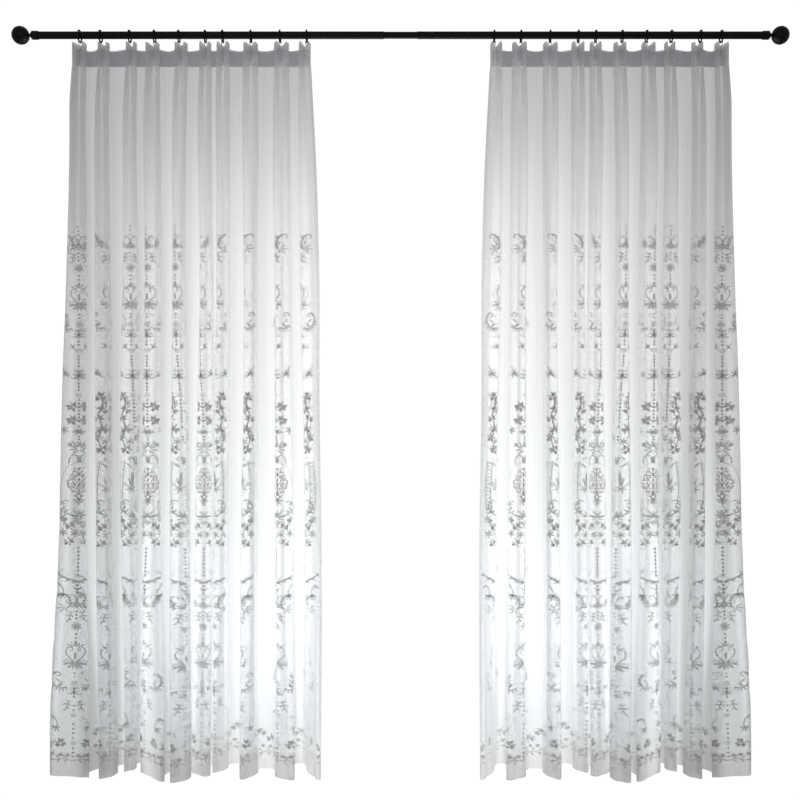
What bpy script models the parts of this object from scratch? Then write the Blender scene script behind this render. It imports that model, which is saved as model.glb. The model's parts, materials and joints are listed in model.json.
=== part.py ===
"""A pair of sheer voile curtains on a telescoping rod, hung from rings with pleat hooks.

Metres, +Z up, -Y towards the room. The origin is the middle of the rod, on its axis.
Both panels come from one table of folds, and the right one is the left one turned over.
"""

import math
from collections import namedtuple

import bpy

# Driving dimensions
MM = 0.001
GAP = 0.4 * MM
ROD_RADIUS = 12.5 * MM
ROD_WALL = 0.8 * MM
ROD_END = 1231.5 * MM
STEP_FROM_MIDDLE = 56.8 * MM
TUBE_OVERLAP = 150.0 * MM
ROUND_STEPS = 24

COLLAR_RADIUS = 14.6 * MM
COLLAR_LENGTH = 20.0 * MM
CONE_LENGTH = 8.5 * MM
FINIAL_NECK_RADIUS = 4.5 * MM
FINIAL_NECK_LENGTH = 2.5 * MM
BALL_RADIUS = 30.3 * MM
BALL_HALF_LENGTH = 29.2 * MM
PLUG_LENGTH = 40.0 * MM

RING_INNER = 17.0 * MM
RING_WIRE = 2.5 * MM
RING_SIDES = 12
RING_WIRE_SIDES = 6
HOOK_WIRE = 1.0 * MM
HOOK_BEND = math.radians(45)
HOOK_FOOT = -86.0 * MM
HOOK_TIP_DROP = 5.5 * MM
HOOK_TIP_SPREAD = 1.12

# The hook's stem below the arch: share of the bend across, share of the way back, drop in millimetres
HOOK_STEM = ((1.0, 0.2, 4.0), (0.5, 0.75, 10.0), (0.0, 1.0, 15.5))

CLOTH = 1.6 * MM
TAPE = 1.0 * MM
TAPE_FOOT = -104.0 * MM
TAPE_BELOW_EDGE = 4.0 * MM
TAPE_END = 12.0 * MM
SLOPE_ROOM = 0.4 * MM

HEM_HEIGHT = -2508.0 * MM
KNEE_HEIGHT = -1580.0 * MM
WAIST_HEIGHT = -900.0 * MM

# Places in depth, worked out from the pieces that lie behind each other at a hook
NECK_Y = 0.0
TAPE_Y = NECK_Y + CLOTH / 2 + GAP + TAPE / 2 + SLOPE_ROOM
STEM_Y = TAPE_Y + TAPE / 2 + GAP + HOOK_WIRE
WAIST_NECK_Y = 12.0 * MM

# The pinched head of a pleat: two fingers forward, with a notch between them
NOTCH_DEPTH = 28.0 * MM
NOTCH_END = -300.0 * MM
CORNER_SHARE = 0.33
HEAD_BOW = 10.0 * MM
BODY_BOW = 22.0 * MM
LEAST_DEPTH = 14.0 * MM
HEAD_DEPTH = 40.0 * MM
HEAD_SLIT = 3.0 * MM
OPENING_EASE = 0.75
DEPTH_HALVINGS = 24

# How far below the rod's axis the cut top edge lies at each place of a pleat
EDGE_DROP = {
    "neck": 42.0 * MM,
    "side": 38.5 * MM,
    "finger": 35.5 * MM,
    "notch": 41.0 * MM,
    "valley": 48.5 * MM,
}
EDGE_UNEVEN = 1.6 * MM
EDGE_BEAT = 2.3
HEM_UNEVEN = 3.0 * MM
HEM_BEAT = 0.37
HEM_PHASE = 0.8

# One row for each pleat, from the outer edge of a panel inwards, in millimetres.
# ring: the ring's distance from the middle of the rod.
# head, waist, knee, hem: the middle and the width of the fold's front face at that height.
# slit: the half width of the opening behind the fold; lean: how far that opening sits outwards.
# front: the depth of the face at the hem; slant: how much further back its inner side is there.
# bow: how far the cloth after the fold bows back at the hem.
Fold = namedtuple(
    "Fold",
    "ring head head_wide waist waist_wide knee knee_wide hem hem_wide "
    "slit hem_slit lean front slant bow",
)
FOLDS = (
    Fold(1091, 1084, 48, 1102, 68, 1118, 86, 1112, 150, 4, 52, 2, -38, -20, 12),
    Fold(1020, 1002, 40, 1006, 48, 1000, 44, 989, 60, 5, 7, 4, -38, 25, 14),
    Fold(921, 909, 37, 912, 60, 918, 59, 932, 43, 3, 7, 0, 12, 34, 34),
    Fold(837, 837, 47, 836, 59, 847, 64, 838, 103, 5, 34, -3, -35, -90, 12),
    Fold(754, 741, 44, 745, 54, 748, 60, 738, 59, 3, 8, 2, -78, 36, 16),
    Fold(664, 659, 40, 659, 53, 663, 61, 681, 70, 7, 12, 7, -14, -50, 12),
    Fold(605, 599, 44, 599, 50, 605, 47, 619, 48, 6, 12, 6, 13, 44, 26),
    Fold(509, 506, 49, 507, 52, 509, 56, 512, 54, 8, 9, -3, -40, 46, 12),
    Fold(410, 402, 50, 397, 58, 395, 66, 388, 64, 9, 11, 8, -50, -24, 42),
    Fold(319, 323, 40, 306, 72, 296, 62, 294, 48, 5, 19, 0, -34, -96, 0),
)

# Heights at which each panel's section is set out, below its cut edge
SECTION_HEIGHTS = (-104, -165, -255, -480, -900, -1240, -1580, -1900, -2240, -2508)

# Order of the places along one pleat, and of those along the last one, which ends in a side hem
PLEAT_PLACES = ("neck", "side", "finger", "notch", "finger", "side", "neck", "valley", "valley")
LAST_PLACES = ("neck", "side", "finger", "notch", "finger", "side")

SIDES = {"left": -1, "right": 1}


def blend(start, end, share):
    return start + (end - start) * share


def share_of(value, start, end):
    """How far value has gone from start to end, held between 0 and 1."""
    return min(max((value - start) / (end - start), 0.0), 1.0)


def smooth(share):
    return share * share * (3 - 2 * share)


def along_height(height, head, waist, knee, hem):
    """A size of a fold at this height. Folds open quickly below the heading, then slowly."""
    if height >= WAIST_HEIGHT:
        return blend(head, waist, share_of(height, TAPE_FOOT, WAIST_HEIGHT) ** OPENING_EASE)
    if height >= KNEE_HEIGHT:
        return blend(waist, knee, share_of(height, WAIST_HEIGHT, KNEE_HEIGHT))
    return blend(knee, hem, smooth(share_of(height, KNEE_HEIGHT, HEM_HEIGHT)))


def path_length(points):
    return sum(math.dist(a, b) for a, b in zip(points, points[1:]))


def fold_places(fold, height, depth):
    """The places of one fold, outer side first, as distance from the middle and depth.

    The front face is at depth 0 and the opening behind it at the given depth. Low down the
    whole fold turns, so that one side of its face hangs further back than the other.
    """
    drape = smooth(share_of(height, KNEE_HEIGHT, HEM_HEIGHT))
    middle = along_height(height, fold.head, fold.waist, fold.knee, fold.hem) * MM
    half = along_height(height, fold.head_wide, fold.waist_wide, fold.knee_wide, fold.hem_wide) * MM / 2
    slit = along_height(height, HEAD_SLIT, fold.slit * MM, fold.slit * MM, fold.hem_slit * MM)
    lean = along_height(height, fold.ring - fold.head, fold.lean, fold.lean, fold.lean) * MM
    notch = NOTCH_DEPTH * (1 - smooth(share_of(height, TAPE_FOOT, NOTCH_END)))
    corner = 2 * half * CORNER_SHARE
    neck = middle + lean
    upright = [
        (neck + slit, depth),
        (middle + half, depth * 0.5),
        (middle + corner, 0.0),
        (middle, notch),
        (middle - corner, 0.0),
        (middle - half, depth * 0.5),
        (neck - slit, depth),
    ]
    turn = drape * fold.slant * MM / (2 * half)
    places = [(s, y + (middle - s) * turn) for s, y in upright]
    return places[: len(LAST_PLACES)] if fold is FOLDS[-1] else places


def bow_at(fold, height):
    return along_height(height, HEAD_BOW, BODY_BOW, BODY_BOW, fold.bow * MM)


def between_length(fold, after, height):
    """The cloth between two folds: across, and round its bow."""
    across = fold_places(fold, height, 0.0)[-1][0] - fold_places(after, height, 0.0)[0][0]
    return 2 * math.hypot(across / 3, bow_at(fold, height)) + across / 3


def cloth_used(fold, after, height, depth):
    used = path_length(fold_places(fold, height, depth))
    return used + between_length(fold, after, height) if after else used


def fold_depth(fold, after, height):
    """The depth at which a fold takes up the cloth that its pleat holds at the heading."""
    cloth = cloth_used(fold, after, TAPE_FOOT, HEAD_DEPTH)
    low, high = LEAST_DEPTH, cloth
    for _ in range(DEPTH_HALVINGS):
        depth = (low + high) / 2
        if cloth_used(fold, after, height, depth) < cloth:
            low = depth
        else:
            high = depth
    return depth


def section(height):
    """The whole panel's section at one height, from its outer edge to its inner edge."""
    drape = smooth(share_of(height, KNEE_HEIGHT, HEM_HEIGHT))
    hung = blend(NECK_Y, WAIST_NECK_Y, smooth(share_of(height, TAPE_FOOT, WAIST_HEIGHT)))
    folds = []
    for fold, after in zip(FOLDS, FOLDS[1:] + (None,)):
        depth = fold_depth(fold, after, height)
        front = blend(hung - depth, fold.front * MM, drape)
        folds.append([(s, y + front) for s, y in fold_places(fold, height, depth)])
    points = []
    for fold, places, following in zip(FOLDS, folds, folds[1:]):
        start, end = places[-1], following[0]
        back = max(start[1], end[1]) + bow_at(fold, height)
        points += places + [(blend(start[0], end[0], share), back) for share in (1 / 3, 2 / 3)]
    return points + folds[-1]


def places_along():
    return PLEAT_PLACES * (len(FOLDS) - 1) + LAST_PLACES


def edge_height(column, place):
    """The cut top edge, a little uneven from pleat to pleat."""
    return -EDGE_DROP[place] + EDGE_UNEVEN * math.sin(EDGE_BEAT * column)


def hem_height(column):
    return HEM_HEIGHT + HEM_UNEVEN * math.sin(HEM_BEAT * column + HEM_PHASE)


def panel_rows():
    """Rows of points from the cut top edge down to the hem, all with the same columns."""
    heights = [height * MM for height in SECTION_HEIGHTS]
    kinds = places_along()
    top = section(heights[0])
    rows = [[(s, y, edge_height(i, kinds[i])) for i, (s, y) in enumerate(top)]]
    for height in heights[:-1]:
        rows.append([(s, y, height) for s, y in section(height)])
    rows.append([(s, y, hem_height(i)) for i, (s, y) in enumerate(section(heights[-1]))])
    return rows


def tape_rows():
    """The heading tape behind the cloth: straight across each neck, bowed between pleats."""
    kinds = places_along()
    along = [
        (s, y, edge_height(i, kinds[i]))
        for i, (s, y) in enumerate(section(TAPE_FOOT))
        if kinds[i] in ("neck", "valley")
    ]
    first, last = along[0], along[-1]
    along = [(first[0] + TAPE_END, first[1], first[2])] + along
    along += [(last[0] - TAPE_END, last[1], last[2])]
    behind = TAPE_Y - NECK_Y
    top = [(s, y + behind, edge - TAPE_BELOW_EDGE) for s, y, edge in along]
    return [top, [(s, y, TAPE_FOOT) for s, y, _ in top]]


def make_material(name, colour, roughness, metallic=0.0, alpha=1.0):
    material = bpy.data.materials.new(name)
    material.use_nodes = True
    shader = material.node_tree.nodes["Principled BSDF"]
    shader.inputs["Base Color"].default_value = (*colour, 1.0)
    shader.inputs["Roughness"].default_value = roughness
    shader.inputs["Metallic"].default_value = metallic
    shader.inputs["Alpha"].default_value = alpha
    return material


def place(obj, collection, parent, material):
    for old in obj.users_collection:
        old.objects.unlink(obj)
    collection.objects.link(obj)
    obj.parent = parent
    obj.data.materials.clear()
    obj.data.materials.append(material)
    return obj


def new_mesh_object(name, vertices, edges, faces):
    mesh = bpy.data.meshes.new(name)
    mesh.from_pydata(vertices, edges, faces)
    mesh.update()
    return bpy.data.objects.new(name, mesh)


def hung_sheet(name, rows, side, thickness):
    """A sheet lofted through its rows of points, then given its thickness."""
    columns = len(rows[0])
    vertices = [(side * s, y, z) for row in rows for s, y, z in row]
    faces = []
    for r in range(len(rows) - 1):
        for c in range(columns - 1):
            start = r * columns + c
            faces.append((start, start + columns, start + columns + 1, start + 1))
    sheet = new_mesh_object(name, vertices, [], faces)
    for polygon in sheet.data.polygons:
        polygon.use_smooth = True
    wall = sheet.modifiers.new("cloth_thickness", "SOLIDIFY")
    wall.thickness = thickness
    wall.offset = 0.0
    return sheet


def turned(name, profile, closed, side, distance):
    """A turned piece along the rod. Its profile is (radius, distance along), outer end first."""
    vertices = [(radius, 0.0, along) for radius, along in profile]
    edges = [(i, i + 1) for i in range(len(vertices) - 1)]
    if closed:
        edges.append((len(vertices) - 1, 0))
    piece = new_mesh_object(name, vertices, edges, [])
    screw = piece.modifiers.new("turn", "SCREW")
    screw.steps = ROUND_STEPS
    screw.render_steps = ROUND_STEPS
    screw.use_merge_vertices = True
    screw.merge_threshold = 0.00001
    piece.rotation_euler = (0.0, side * math.pi / 2, 0.0)
    piece.location = (side * distance, 0.0, 0.0)
    return piece


def tube_profile(outer, inner, length):
    return [(outer, length), (outer, 0.0), (inner, 0.0), (inner, length)]


def rod_tube(name, side):
    length = ROD_END - STEP_FROM_MIDDLE
    profile = tube_profile(ROD_RADIUS, ROD_RADIUS - ROD_WALL, length)
    return turned(name, profile, True, side, STEP_FROM_MIDDLE)


def inner_tube(name):
    half = STEP_FROM_MIDDLE + TUBE_OVERLAP
    outer = ROD_RADIUS - ROD_WALL - GAP
    return turned(name, tube_profile(outer, outer - ROD_WALL, 2 * half), True, 1, -half)


def finial_profile():
    """Ball, neck, cone and collar, and the plug that fits the end of the tube."""
    collar_face = GAP
    collar_end = collar_face + COLLAR_LENGTH
    cone_end = collar_end + CONE_LENGTH
    ball_start = cone_end + FINIAL_NECK_LENGTH
    sink = math.asin(FINIAL_NECK_RADIUS / BALL_RADIUS)
    ball_middle = ball_start + BALL_HALF_LENGTH * math.cos(sink)
    ball_steps = 10
    points = []
    for step in range(ball_steps + 1):
        angle = blend(0.0, math.pi - sink, step / ball_steps)
        points.append((BALL_RADIUS * math.sin(angle), ball_middle + BALL_HALF_LENGTH * math.cos(angle)))
    plug = ROD_RADIUS - ROD_WALL - GAP
    points += [
        (FINIAL_NECK_RADIUS, cone_end),
        (COLLAR_RADIUS, collar_end),
        (COLLAR_RADIUS, collar_face),
        (plug, collar_face),
        (plug, -PLUG_LENGTH),
        (0.0, -PLUG_LENGTH),
    ]
    return points


def ring_drop():
    """How far a ring's middle hangs below the rod's axis when the ring rests on the rod."""
    return RING_INNER - (ROD_RADIUS + GAP) / math.cos(math.pi / RING_SIDES)


def ring_mesh():
    bpy.ops.mesh.primitive_torus_add(
        major_segments=RING_SIDES,
        minor_segments=RING_WIRE_SIDES,
        major_radius=RING_INNER + RING_WIRE,
        minor_radius=RING_WIRE,
    )
    pattern = bpy.context.object
    mesh = pattern.data
    mesh.name = "ring"
    mesh.shade_smooth()
    bpy.data.objects.remove(pattern)
    return mesh


def ring(name, mesh, x):
    piece = bpy.data.objects.new(name, mesh)
    piece.rotation_euler = (0.0, math.pi / 2, 0.0)
    piece.location = (x, 0.0, -ring_drop())
    return piece


def hook_path():
    """A pleat hook: over the ring's wire, back past the top edge, and down behind the tape."""
    wire_z = -ring_drop() - RING_INNER - RING_WIRE
    bend = (RING_WIRE + GAP + HOOK_WIRE) / math.cos(HOOK_BEND / 2)
    arch = [
        (-bend * math.cos(step * HOOK_BEND), 0.0, wire_z + bend * math.sin(step * HOOK_BEND))
        for step in range(5)
    ]
    tip = (-bend * HOOK_TIP_SPREAD, 0.0, wire_z - HOOK_TIP_DROP)
    stem = [(bend * across, STEM_Y * back, wire_z - drop * MM) for across, back, drop in HOOK_STEM]
    stem.append((0.0, STEM_Y, HOOK_FOOT))
    return [tip] + arch + stem


def hook(name, x, side):
    curve = bpy.data.curves.new(name, "CURVE")
    curve.dimensions = "3D"
    curve.bevel_depth = HOOK_WIRE
    curve.bevel_resolution = 0
    curve.use_fill_caps = True
    spline = curve.splines.new("POLY")
    route = hook_path()
    spline.points.add(len(route) - 1)
    for point, (across, y, z) in zip(spline.points, route):
        point.co = (side * across, y, z, 1.0)
    piece = bpy.data.objects.new(name, curve)
    piece.location = (x, 0.0, 0.0)
    return piece


def main():
    for obj in list(bpy.data.objects):
        bpy.data.objects.remove(obj)
    collection = bpy.data.collections.new("sheer_curtain_pair")
    bpy.context.scene.collection.children.link(collection)
    rod_axis = bpy.data.objects.new("rod_axis", None)
    collection.objects.link(rod_axis)

    voile = make_material("sheer_voile", (0.86, 0.87, 0.90), 0.85, alpha=0.6)
    tape = make_material("heading_tape", (0.80, 0.80, 0.83), 0.9)
    black = make_material("black_rod", (0.012, 0.012, 0.013), 0.38, metallic=0.6)
    wire = make_material("black_wire", (0.015, 0.015, 0.016), 0.45, metallic=0.8)

    place(inner_tube("rod_inner_tube"), collection, rod_axis, black)
    ring_shape = ring_mesh()
    for side_name, side in SIDES.items():
        place(rod_tube(f"rod_tube_{side_name}", side), collection, rod_axis, black)
        finial = turned(f"finial_{side_name}", finial_profile(), False, side, ROD_END)
        place(finial, collection, rod_axis, black)
        panel = hung_sheet(f"voile_panel_{side_name}", panel_rows(), side, CLOTH)
        place(panel, collection, rod_axis, voile)
        strip = hung_sheet(f"heading_tape_{side_name}", tape_rows(), side, TAPE)
        place(strip, collection, rod_axis, tape)
        for number, fold in enumerate(FOLDS, start=1):
            x = side * fold.ring * MM
            place(ring(f"ring_{side_name}_{number}", ring_shape, x), collection, rod_axis, black)
            place(hook(f"hook_{side_name}_{number}", x, side), collection, rod_axis, wire)
    for obj in collection.objects:
        if obj.name.startswith(("rod_tube", "rod_inner", "finial")):
            obj.data.shade_smooth()
    bpy.context.view_layer.update()


main()
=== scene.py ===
"""Looks of the sheer voile curtain pair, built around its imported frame.

The fine cloth follows the same table of folds as the solids. Its needlework is drawn flat,
repeated across the width and then laid on the hung cloth.
"""

import json
import math
from collections import namedtuple

import bmesh
import bpy
import numpy as np
from mathutils import Matrix, Vector

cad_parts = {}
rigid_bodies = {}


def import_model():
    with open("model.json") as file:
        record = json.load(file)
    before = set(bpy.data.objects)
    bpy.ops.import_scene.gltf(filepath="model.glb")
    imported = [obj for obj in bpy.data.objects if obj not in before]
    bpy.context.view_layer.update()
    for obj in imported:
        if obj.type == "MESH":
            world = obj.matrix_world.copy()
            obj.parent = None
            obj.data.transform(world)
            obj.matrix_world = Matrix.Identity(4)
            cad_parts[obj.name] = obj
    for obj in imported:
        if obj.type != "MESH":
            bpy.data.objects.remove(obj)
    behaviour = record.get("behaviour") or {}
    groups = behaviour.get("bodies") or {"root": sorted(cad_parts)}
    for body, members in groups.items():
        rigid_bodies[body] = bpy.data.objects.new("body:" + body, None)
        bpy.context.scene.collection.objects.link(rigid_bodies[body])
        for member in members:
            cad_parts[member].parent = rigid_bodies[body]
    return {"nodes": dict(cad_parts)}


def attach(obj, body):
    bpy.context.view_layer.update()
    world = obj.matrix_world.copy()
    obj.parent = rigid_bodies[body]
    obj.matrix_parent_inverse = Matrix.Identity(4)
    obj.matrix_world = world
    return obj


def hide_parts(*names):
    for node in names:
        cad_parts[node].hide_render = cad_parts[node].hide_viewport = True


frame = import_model()

MM = 0.001
SIDES = {"left": -1, "right": 1}

# The photograph's frame: 3.4 mm a pixel at the rod, seen from the middle of the drop
VIEW_DISTANCE = 3.2
VIEW_HEIGHT = -1.24
VIEW_ACROSS = -0.0017
SENSOR = 36.0
FRAME_WIDTH = 2.72

# Sizes shared with the solids
GAP = 0.4 * MM
ROD_RADIUS = 12.5 * MM
ROD_END = 1231.5 * MM
RING_INNER = 17.0 * MM
RING_WIRE = 2.5 * MM
RING_SIDES = 12
TAPE_FOOT = -104.0 * MM
HEM_HEIGHT = -2508.0 * MM
KNEE_HEIGHT = -1580.0 * MM
WAIST_HEIGHT = -900.0 * MM
NECK_Y = 0.0
WAIST_NECK_Y = 12.0 * MM
NOTCH_DEPTH = 28.0 * MM
NOTCH_END = -300.0 * MM
CORNER_SHARE = 0.33
HEAD_BOW = 10.0 * MM
BODY_BOW = 22.0 * MM
LEAST_DEPTH = 14.0 * MM
HEAD_DEPTH = 40.0 * MM
HEAD_SLIT = 3.0 * MM
OPENING_EASE = 0.75
DEPTH_HALVINGS = 24
EDGE_DROP = {
    "neck": 42.0 * MM,
    "side": 38.5 * MM,
    "finger": 35.5 * MM,
    "notch": 41.0 * MM,
    "valley": 48.5 * MM,
}
EDGE_UNEVEN = 1.6 * MM
EDGE_BEAT = 2.3
HEM_UNEVEN = 3.0 * MM
HEM_BEAT = 0.37
HEM_PHASE = 0.8

Fold = namedtuple(
    "Fold",
    "ring head head_wide waist waist_wide knee knee_wide hem hem_wide "
    "slit hem_slit lean front slant bow",
)
FOLDS = (
    Fold(1091, 1084, 48, 1102, 68, 1118, 86, 1112, 150, 4, 52, 2, -38, -20, 12),
    Fold(1020, 1002, 40, 1006, 48, 1000, 44, 989, 60, 5, 7, 4, -38, 25, 14),
    Fold(921, 909, 37, 912, 60, 918, 59, 932, 43, 3, 7, 0, 12, 34, 34),
    Fold(837, 837, 47, 836, 59, 847, 64, 838, 103, 5, 34, -3, -35, -90, 12),
    Fold(754, 741, 44, 745, 54, 748, 60, 738, 59, 3, 8, 2, -78, 36, 16),
    Fold(664, 659, 40, 659, 53, 663, 61, 681, 70, 7, 12, 7, -14, -50, 12),
    Fold(605, 599, 44, 599, 50, 605, 47, 619, 48, 6, 12, 6, 13, 44, 26),
    Fold(509, 506, 49, 507, 52, 509, 56, 512, 54, 8, 9, -3, -40, 46, 12),
    Fold(410, 402, 50, 397, 58, 395, 66, 388, 64, 9, 11, 8, -50, -24, 42),
    Fold(319, 323, 40, 306, 72, 296, 62, 294, 48, 5, 19, 0, -34, -96, 0),
)
PLEAT_PLACES = ("neck", "side", "finger", "notch", "finger", "side", "neck", "valley", "valley")
LAST_PLACES = ("neck", "side", "finger", "notch", "finger", "side")
PLACES = PLEAT_PLACES * (len(FOLDS) - 1) + LAST_PLACES
NUMBERS = range(1, len(FOLDS) + 1)

# The fine cloth
PLEAT_COLUMNS = 64
LAST_COLUMNS = 40
COLUMN_COUNTS = [PLEAT_COLUMNS] * (len(FOLDS) - 1) + [LAST_COLUMNS]
SPAN_STEPS = 16
HEADING_ROWS = 9
HEAD_FALL_END = -400.0 * MM
HEAD_FALL_ROWS = 18
BODY_END = -2420.0 * MM
BODY_ROWS = 104
HEM_ROWS = 9
FREE_SPAN = 0.35
FLUTTER = 1.7 * MM
GATHER = 1.3 * MM
GATHER_START = 0.03
GATHER_FADE = 0.16
SWAY = 3.2 * MM
# Random soft waves: how many, radians a metre across and down, and how fast the short ones fade
Waves = namedtuple("Waves", "seed count across down falloff")
FLUTES = Waves(11, 14, (26, 105), (0.3, 2.2), 0.8)
GATHERS = Waves(12, 14, (240, 520), (0.5, 5.0), 0.3)
SWAYS = Waves(13, 10, (8, 26), (1.5, 6.0), 0.5)

# Hems and the pattern's repeat, measured on the flat cloth
SIDE_HEM = 26.0 * MM
BOTTOM_HEM = 84.0 * MM
PATTERN_PITCH = 228.0 * MM
THREAD_RISE = 0.5 * MM
SIDE_CLEAR = 4.0 * MM
HEM_CLEAR = 12.0 * MM
STEEP = 0.6

# The drawing of the pattern, in millimetres on the flat cloth
STEM_BOLD = 1.65
STEM_STEPS = 4
LEAF_STEPS = 6
LEAF_POINT = 0.3
FAN_INNER = 5.0
CURL_DEGREES = 28
CHAIN_PITCH = 1211
BUNCH_SEED = 5
BUNCH_ROWS = 10
BUNCH_REACH = 33
BUNCH_HEIGHT = 100
LATTICE_CELLS = 15
LATTICE_WIDTH = 20.0
LATTICE_BOW = 7.0

# Where each column of the pattern lies on the flat cloth, upper, middle and lower, from the outer
# edge on. Each names its motif: arms that spread or open scrolls, with sprays or a full bunch.
COLUMN_HEIGHTS = (-900.0 * MM, -1510.0 * MM, -2150.0 * MM)
Column = namedtuple("Column", "upper middle lower motif")
COLUMNS = (
    Column(-0.165, -0.165, -0.165, "open_sprays"),
    Column(0.090, 0.098, 0.095, "open_full"),
    Column(0.395, 0.392, 0.392, "spread_sprays"),
    Column(0.630, 0.655, 0.660, "spread_sprays"),
    Column(0.866, 0.875, 0.850, "spread_full"),
    Column(1.134, 1.164, 1.177, "spread_sprays"),
    Column(1.372, 1.402, 1.407, "spread_full"),
    Column(1.600, 1.600, 1.600, "open_sprays"),
    Column(1.868, 1.875, 1.868, "open_sprays"),
    Column(2.140, 2.154, 2.129, "open_full"),
    Column(2.420, 2.420, 2.420, "open_sprays"),
    Column(2.660, 2.660, 2.660, "open_full"),
)
MOTIFS = ("open_full", "open_sprays", "spread_full", "spread_sprays")

# Turned pieces, from the same profiles as the solids but rounder
STEP_FROM_MIDDLE = 56.8 * MM
ROD_WALL = 0.8 * MM
INNER_RADIUS = ROD_RADIUS - ROD_WALL - GAP
INNER_OVERLAP = 40.0 * MM
PLUG_LENGTH = 8.0 * MM
COLLAR_RADIUS = 14.6 * MM
COLLAR_LENGTH = 20.0 * MM
CONE_LENGTH = 8.5 * MM
FINIAL_NECK_RADIUS = 4.5 * MM
FINIAL_NECK_LENGTH = 2.5 * MM
BALL_RADIUS = 30.3 * MM
BALL_HALF_LENGTH = 29.2 * MM
TURN_STEPS = 64
BALL_STEPS = 28
RING_STEPS = 48
WIRE_STEPS = 12
MERGE = 0.01 * MM
SHARP_ANGLE = math.radians(35)

# Woven stuffs: the tones of their face, of light that comes through and of what is seen through
# the gaps, and the share of the light that passes. A second tone is for the olive thread, or on the
# voile a painted shade: its foot hem is shown darker and warmer than the white cloth
Weave = namedtuple("Weave", "front glow gap passes")
VOILE = Weave(
    ((0.88, 0.885, 0.89), (0.79, 0.78, 0.77)),
    ((0.945, 0.95, 0.955), (0.86, 0.85, 0.845)),
    (0.99, 0.99, 0.99),
    0.8,
)
THREAD = Weave(
    ((0.74, 0.75, 0.74), (0.69, 0.69, 0.63)),
    ((0.70, 0.71, 0.70), (0.65, 0.65, 0.585)),
    (0.95, 0.95, 0.95),
    0.36,
)
TAPE = Weave(((0.72, 0.72, 0.75),), ((0.7, 0.7, 0.73),), (0.9, 0.9, 0.92), 0.6)

# The open share of the voile, and what its yarns, hems and seams add to it
VOILE_OPEN = 0.43
OPENED_BY = {"warp": 0.12, "weft": 0.04, "ribs": 0.012, "double": -0.12, "stitches": -0.1}
WARP_SCALE = (260.0, 1.6, 1.0)
WEFT_SCALE = (5.0, 420.0, 1.0)
RIB_PITCH = 2.2 * MM
STITCH_INSET = 1.5 * MM
STITCH_HALF = 0.7 * MM
# The open share of thread and tape, as (what noise adds, the least)
THREAD_OPEN = (0.08, 0.06)
THREAD_SCALE = 900.0
TAPE_OPEN = (0.16, 0.26)
TAPE_SCALE = (700.0, 60.0, 12.0)
NOISE_ROUGHNESS = 0.55
COAT_SCALE = 180.0
SHEEN_UNEVEN = 0.08

# Light. The room seen through the cloth is one plain tone, the same from every side. The light
# from it is dimmest in front and brightest behind
BEHIND_CLOTH = (0.555, 0.565, 0.57)
LIGHT_TONES = (0.20, 0.25, 0.33)
WHITE = (1.0, 1.0, 1.0)
WHITE_LEVEL = 1.02
FLOOR_TONE = (0.5, 0.5, 0.5)
FLOOR_SIZE = 9.0
FLOOR_HEIGHT = -2.545
Lamp = namedtuple("Lamp", "name place target width height power colour")
LAMPS = (
    Lamp("window_light", (0, 0.45, -1.43), (0, 0, -1.43), 2.0, 2.02, 21.0, WHITE),
    Lamp("low_window_light", (0, 0.5, -2.1), (0, 0, -2.1), 2.2, 0.8, 4.8, (0.86, 0.95, 1.0)),
    Lamp("room_light", (-0.6, -2.6, -0.2), (0, 0, -1.2), 2.4, 1.6, 4.0, WHITE),
)


def blend(start, end, share):
    return start + (end - start) * share


def share_of(value, start, end):
    """How far value has gone from start to end, held between 0 and 1."""
    return min(max((value - start) / (end - start), 0.0), 1.0)


def smooth(share):
    return share * share * (3 - 2 * share)


def along_height(height, head, waist, knee, hem):
    """A size of a fold at this height. Folds open quickly below the heading, then slowly."""
    if height >= WAIST_HEIGHT:
        return blend(head, waist, share_of(height, TAPE_FOOT, WAIST_HEIGHT) ** OPENING_EASE)
    if height >= KNEE_HEIGHT:
        return blend(waist, knee, share_of(height, WAIST_HEIGHT, KNEE_HEIGHT))
    return blend(knee, hem, smooth(share_of(height, KNEE_HEIGHT, HEM_HEIGHT)))


def path_length(points):
    return sum(math.dist(a, b) for a, b in zip(points, points[1:]))


def fold_places(fold, height, depth):
    """The places of one fold, outer side first, as distance from the middle and depth."""
    drape = smooth(share_of(height, KNEE_HEIGHT, HEM_HEIGHT))
    middle = along_height(height, fold.head, fold.waist, fold.knee, fold.hem) * MM
    widths = (fold.head_wide, fold.waist_wide, fold.knee_wide, fold.hem_wide)
    half = along_height(height, *widths) * MM / 2
    slit = along_height(height, HEAD_SLIT, fold.slit * MM, fold.slit * MM, fold.hem_slit * MM)
    lean = along_height(height, fold.ring - fold.head, fold.lean, fold.lean, fold.lean) * MM
    notch = NOTCH_DEPTH * (1 - smooth(share_of(height, TAPE_FOOT, NOTCH_END)))
    corner = 2 * half * CORNER_SHARE
    neck = middle + lean
    upright = [
        (neck + slit, depth),
        (middle + half, depth * 0.5),
        (middle + corner, 0.0),
        (middle, notch),
        (middle - corner, 0.0),
        (middle - half, depth * 0.5),
        (neck - slit, depth),
    ]
    turn = drape * fold.slant * MM / (2 * half)
    places = [(s, y + (middle - s) * turn) for s, y in upright]
    return places[: len(LAST_PLACES)] if fold is FOLDS[-1] else places


def bow_at(fold, height):
    return along_height(height, HEAD_BOW, BODY_BOW, BODY_BOW, fold.bow * MM)


def between_length(fold, after, height):
    """The cloth between two folds: across, and round its bow."""
    across = fold_places(fold, height, 0.0)[-1][0] - fold_places(after, height, 0.0)[0][0]
    return 2 * math.hypot(across / 3, bow_at(fold, height)) + across / 3


def cloth_used(fold, after, height, depth):
    used = path_length(fold_places(fold, height, depth))
    return used + between_length(fold, after, height) if after else used


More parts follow.
